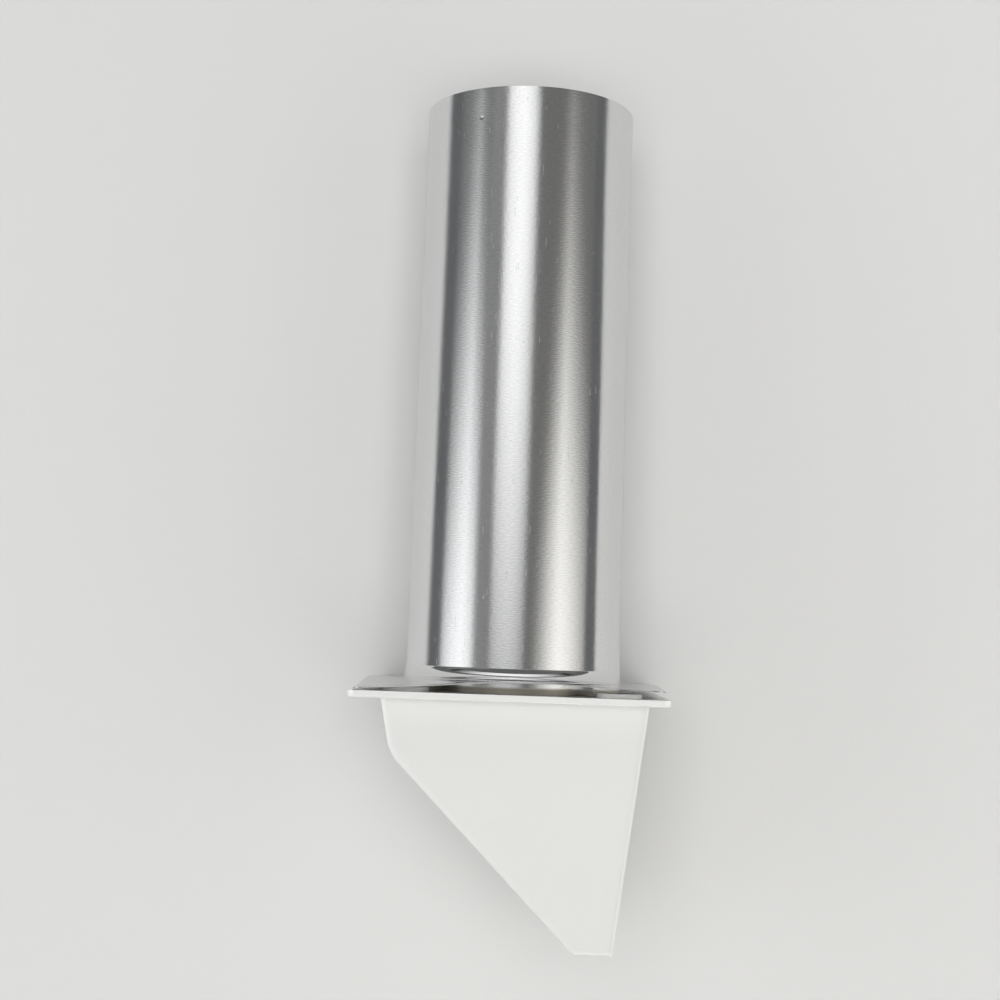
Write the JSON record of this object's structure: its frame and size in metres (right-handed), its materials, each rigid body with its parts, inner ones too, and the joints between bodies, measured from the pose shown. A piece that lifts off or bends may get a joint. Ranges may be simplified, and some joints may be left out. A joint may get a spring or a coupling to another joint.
{
  "type": "exterior exhaust vent hood with tail pipe",
  "caption": "Wall exhaust vent: slanted plastic hood on a square flange, metal wall plate and long round tail pipe, with a hinged damper flap and bird guard inside.",
  "frame": {"origin": "on the tail pipe's axis, in the wall plate's outer face, which rests on the wall", "axes": "the part lies on its side as on a bench: +Y along the tail pipe, into the wall; +X towards the open mouth, which points down once installed; +Z across the hood"},
  "size_m": [0.145, 0.4005, 0.145],
  "materials": {
    "hood_plastic": "smooth moulded, low gloss",
    "sheet_aluminium": "bright rolled sheet",
    "flap_plastic": "moulded",
    "guard_plastic": "moulded",
    "wire_steel": "zinc plated",
    "foam": "closed-cell foam"
  },
  "bodies": {
    "housing": {"hood_shell": "hood_plastic", "wall_plate": "sheet_aluminium", "tail_pipe": "sheet_aluminium", "pipe_gasket": "foam", "damper_seat_frame": "flap_plastic", "damper_seat_ring": "foam", "seat_frame_screws": "wire_steel", "damper_hinge_rod": "wire_steel", "hinge_rod_clips": "wire_steel"},
    "flap": {"damper_flap": "flap_plastic"},
    "guard": {"bird_guard": "guard_plastic"}
  },
  "joints": [
    {"name": "damper_hinge", "type": "hinge", "parent": "housing", "child": "flap", "pos_m": [-0.0515, -0.0151, 0], "axis": [0, 0, -1], "range_deg": [0, 50]},
    {"name": "guard_hinge", "type": "hinge", "parent": "housing", "child": "guard", "pos_m": [0.04734, -0.11416, 0], "axis": [0, 0, -1], "range_deg": [0, 88]}
  ]
}
